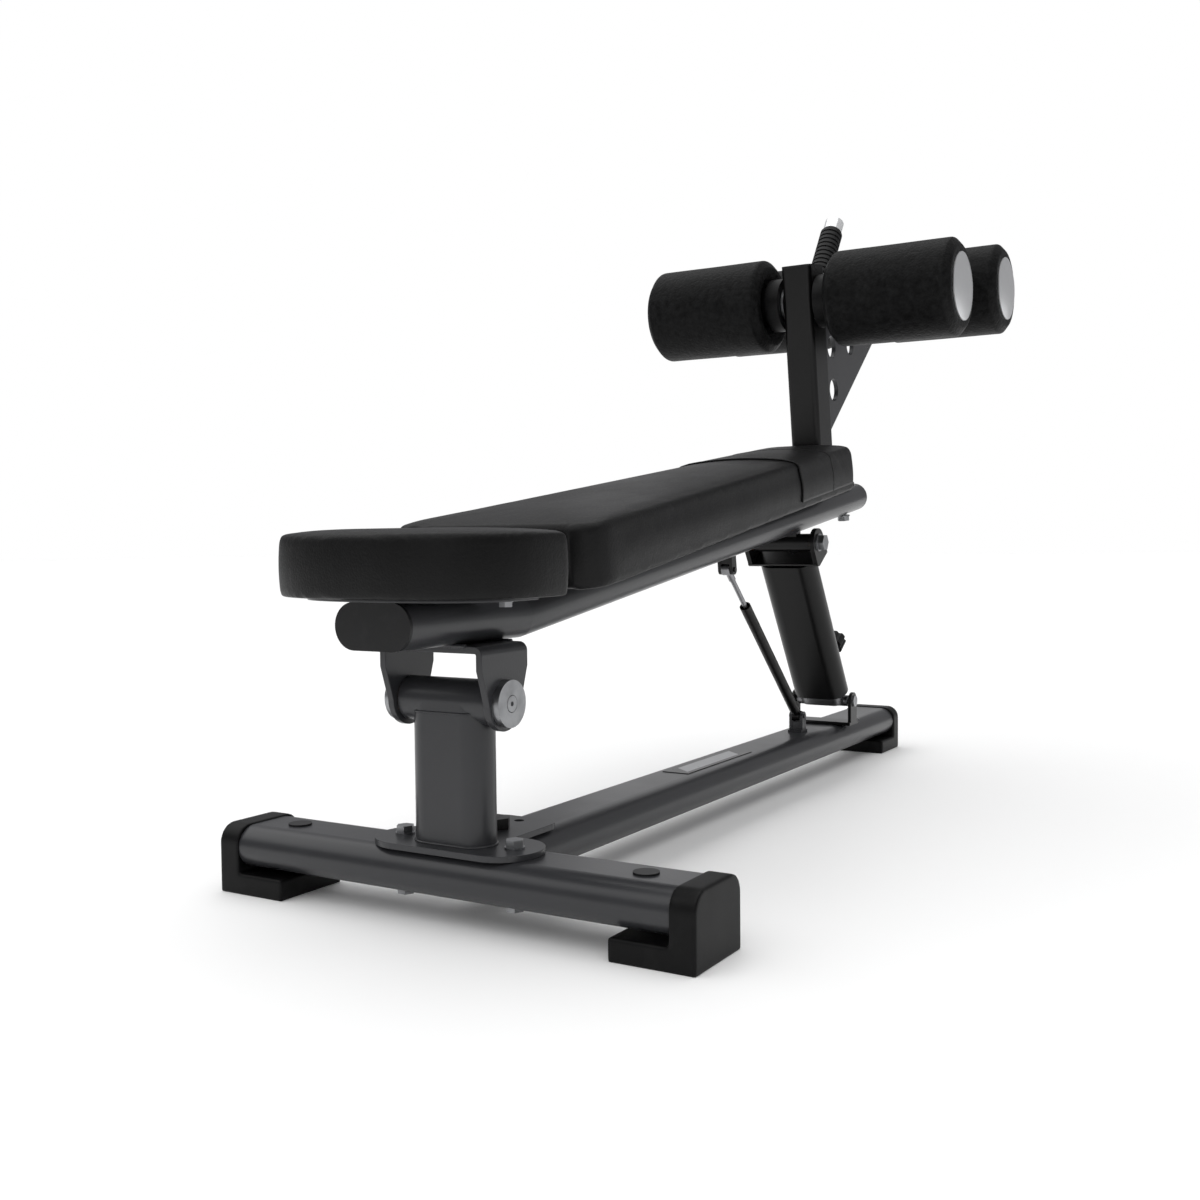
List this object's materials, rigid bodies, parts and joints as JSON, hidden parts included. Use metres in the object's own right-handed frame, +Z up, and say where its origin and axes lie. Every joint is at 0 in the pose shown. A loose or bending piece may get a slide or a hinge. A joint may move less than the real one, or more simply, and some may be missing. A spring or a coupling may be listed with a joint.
{
  "type": "adjustable abdominal bench",
  "caption": "Free-standing adjustable sit-up bench: flat-oval steel base, tilting padded rail on a telescopic rear leg, foam foot rollers and a grab handle.",
  "frame": {"origin": "on the floor, under the middle of the overall box", "axes": "+X across the bench to its right side, +Y from the head pad to the rollers, +Z up"},
  "size_m": [0.642, 1.558, 1.0116],
  "materials": {
    "charcoal_powder_coat": "satin powder coat",
    "black_powder_coat": "satin powder coat",
    "zinc_plate": "bright zinc",
    "silver_cap": "satin",
    "roller_foam": "grained black",
    "black_plastic": "matte",
    "black_rubber": "matte",
    "black_vinyl": "grained black vinyl",
    "plywood": "raw",
    "bronze": "sintered",
    "black_steel": "gloss black"
  },
  "bodies": {
    "base": {"crossbar": "charcoal_powder_coat", "spine": "charcoal_powder_coat", "front_feet": "black_rubber", "rear_foot": "black_rubber", "tube_plugs": "black_plastic", "base_plate": "charcoal_powder_coat", "front_post": "charcoal_powder_coat", "pivot_barrel": "charcoal_powder_coat", "pivot_bushes": "bronze", "plate_bolts": "zinc_plate", "tongue_bolt": "black_steel", "lower_bracket": "black_powder_coat", "lower_pin": "zinc_plate", "strut_foot": "black_powder_coat", "name_plate": "black_plastic"},
    "bench": {"rail_level": "charcoal_powder_coat", "rail": "charcoal_powder_coat", "rail_caps": "black_plastic", "front_clevis": "charcoal_powder_coat", "pivot_shaft": "zinc_plate", "pivot_discs": "zinc_plate", "head_plate": "charcoal_powder_coat", "head_pad": "black_vinyl", "head_bolts": "zinc_plate", "pad_board": "plywood", "main_pad": "black_vinyl", "wear_cover": "black_vinyl", "pad_bolts": "zinc_plate", "column": "black_powder_coat", "column_bolts": "zinc_plate", "gusset": "black_powder_coat", "roller_axles": "zinc_plate", "axle_collars": "zinc_plate", "handle_bar": "zinc_plate", "handle_grip": "black_rubber", "leg_lug": "black_powder_coat", "strut_head": "black_powder_coat"},
    "leg_outer": {"leg_sleeve": "black_powder_coat", "leg_bracket": "black_powder_coat", "leg_bolt": "zinc_plate", "thrust_washers": "bronze", "pin_housing": "zinc_plate"},
    "leg_inner": {"leg_inner": "black_powder_coat", "leg_foot": "black_powder_coat"},
    "pull_pin": {"pin_plunger": "zinc_plate", "pin_knob": "black_plastic"},
    "strut_cylinder": {"strut_cylinder": "black_steel"},
    "strut_rod": {"strut_rod": "zinc_plate"},
    "roller_near_left": {"foam_near_left": "roller_foam", "core_near_left": "black_plastic", "caps_near_left": "silver_cap"},
    "roller_near_right": {"foam_near_right": "roller_foam", "core_near_right": "black_plastic", "caps_near_right": "silver_cap"},
    "roller_far_left": {"foam_far_left": "roller_foam", "core_far_left": "black_plastic", "caps_far_left": "silver_cap"},
    "roller_far_right": {"foam_far_right": "roller_foam", "core_far_right": "black_plastic", "caps_far_right": "silver_cap"}
  },
  "joints": [
    {"name": "bench_tilt", "type": "hinge", "parent": "base", "child": "bench", "pos_m": [0, -0.61504, 0.245], "axis": [1, 0, 0], "range_deg": [0, 8]},
    {"name": "leg_outer_swing", "type": "hinge", "parent": "bench", "child": "leg_outer", "pos_m": [0, 0.31243, 0.41279], "axis": [1, 0, 0], "range_deg": [-13.52, 0]},
    {"name": "leg_inner_swing", "type": "hinge", "parent": "base", "child": "leg_inner", "pos_m": [0, 0.49896, 0.123], "axis": [1, 0, 0], "range_deg": [-5.52, 0]},
    {"name": "pull_pin_slide", "type": "slide", "parent": "leg_outer", "child": "pull_pin", "axis": [0, 0.8409, 0.5412], "range_m": [0, 0.012], "stiffness_N_per_m": 600, "springref_m": -0.01},
    {"name": "strut_cylinder_swing", "type": "hinge", "parent": "base", "child": "strut_cylinder", "pos_m": [0, 0.37296, 0.108], "axis": [1, 0, 0], "range_deg": [-6.86, 0]},
    {"name": "strut_rod_swing", "type": "hinge", "parent": "bench", "child": "strut_rod", "pos_m": [0, 0.08893, 0.3723], "axis": [1, 0, 0], "range_deg": [-14.86, 0]},
    {"name": "roller_near_left_spin", "type": "hinge", "parent": "bench", "child": "roller_near_left", "pos_m": [0, 0.40906, 0.83351], "axis": [1, 0, 0], "continuous": true},
    {"name": "roller_near_right_spin", "type": "hinge", "parent": "bench", "child": "roller_near_right", "pos_m": [0, 0.40906, 0.83351], "axis": [1, 0, 0], "continuous": true},
    {"name": "roller_far_left_spin", "type": "hinge", "parent": "bench", "child": "roller_far_left", "pos_m": [0, 0.69804, 0.87541], "axis": [1, 0, 0], "continuous": true},
    {"name": "roller_far_right_spin", "type": "hinge", "parent": "bench", "child": "roller_far_right", "pos_m": [0, 0.69804, 0.87541], "axis": [1, 0, 0], "continuous": true}
  ],
  "couplings": [
    {"joint": "leg_outer_swing", "follows": "bench_tilt", "ratio": -1.69},
    {"joint": "leg_inner_swing", "follows": "bench_tilt", "ratio": -0.69},
    {"joint": "strut_cylinder_swing", "follows": "bench_tilt", "ratio": -0.8575},
    {"joint": "strut_rod_swing", "follows": "bench_tilt", "ratio": -1.8575}
  ]
}
